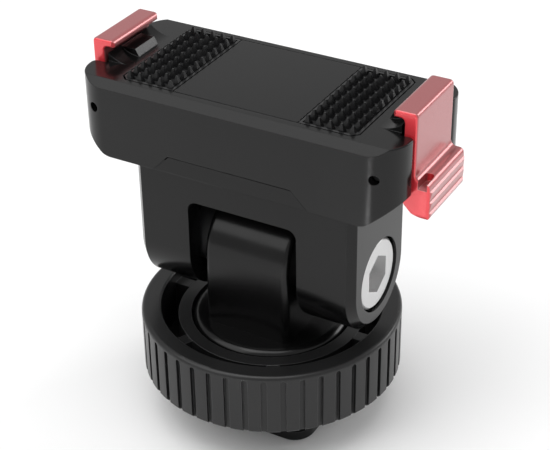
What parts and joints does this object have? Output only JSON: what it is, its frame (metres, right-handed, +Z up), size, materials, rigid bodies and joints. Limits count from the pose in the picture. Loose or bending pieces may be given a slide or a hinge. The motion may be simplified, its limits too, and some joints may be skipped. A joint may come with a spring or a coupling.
{
  "type": "quick-release tilt mount",
  "caption": "Quick-release camera mount: spring claws on a padded block, tilting fork hinge, knurled clamp wheel and accessory shoe foot.",
  "frame": {"origin": "on the hand wheel's axis, at the centre of the underside of the foot", "axes": "+Z up through the hand wheel to the camera seat, +X along the housing towards the claw with the thumb pad, -Y the front"},
  "size_m": [0.0489, 0.0364, 0.0532],
  "materials": {
    "black_metal": "satin black anodised",
    "wheel_metal": "satin black anodised",
    "cover_metal": "satin black",
    "red_metal": "satin red anodised",
    "pad_rubber": "moulded black",
    "steel": "bright zinc plated",
    "dark_steel": "blackened",
    "spring_steel": "drawn wire",
    "nickel": "nickel plated",
    "brass": "turned",
    "washer_plastic": "moulded nylon"
  },
  "bodies": {
    "base": {"shoe_foot": "black_metal", "tongue_post": "black_metal", "post_stud": "steel", "anti_turn_pin": "steel"},
    "clamp": {"pressure_plate": "black_metal", "wheel_washer": "washer_plastic"},
    "wheel": {"hand_wheel": "wheel_metal", "thread_insert": "brass"},
    "head": {"housing": "black_metal", "cover_plate": "cover_metal", "grip_pad_left": "pad_rubber", "grip_pad_right": "pad_rubber", "magnets": "nickel", "yoke": "black_metal", "yoke_screws": "steel", "claw_pin_left": "dark_steel", "claw_pin_right": "dark_steel", "claw_spring_left": "spring_steel", "claw_spring_right": "spring_steel", "hinge_screw": "steel", "hinge_nut": "steel", "friction_washer_left": "washer_plastic", "friction_washer_right": "washer_plastic"},
    "left_claw": {"claw_left": "red_metal"},
    "right_claw": {"claw_right": "red_metal"}
  },
  "joints": [
    {"name": "head_tilt", "type": "hinge", "parent": "base", "child": "head", "pos_m": [0, 0, 0.02525], "axis": [1, 0, 0], "range_deg": [-80, 80]},
    {"name": "left_claw_open", "type": "hinge", "parent": "head", "child": "left_claw", "pos_m": [-0.02025, 0, 0.046], "axis": [0, -1, 0], "range_deg": [0, 14], "stiffness_Nm_per_rad": 0.05, "springref_deg": -17.19},
    {"name": "right_claw_open", "type": "hinge", "parent": "head", "child": "right_claw", "pos_m": [0.02025, 0, 0.046], "axis": [0, 1, 0], "range_deg": [0, 14], "stiffness_Nm_per_rad": 0.05, "springref_deg": -17.19},
    {"name": "wheel_travel", "type": "slide", "parent": "base", "child": "clamp", "axis": [0, 0, 1], "range_m": [-0.0022, 0.0005]},
    {"name": "wheel_spin", "type": "hinge", "parent": "clamp", "child": "wheel", "pos_m": [0, 0, 0.01], "axis": [0, 0, 1], "range_deg": [-630, 140]}
  ],
  "couplings": [
    {"joint": "wheel_travel", "follows": "wheel_spin", "m_per_rad": 0.00019894}
  ]
}
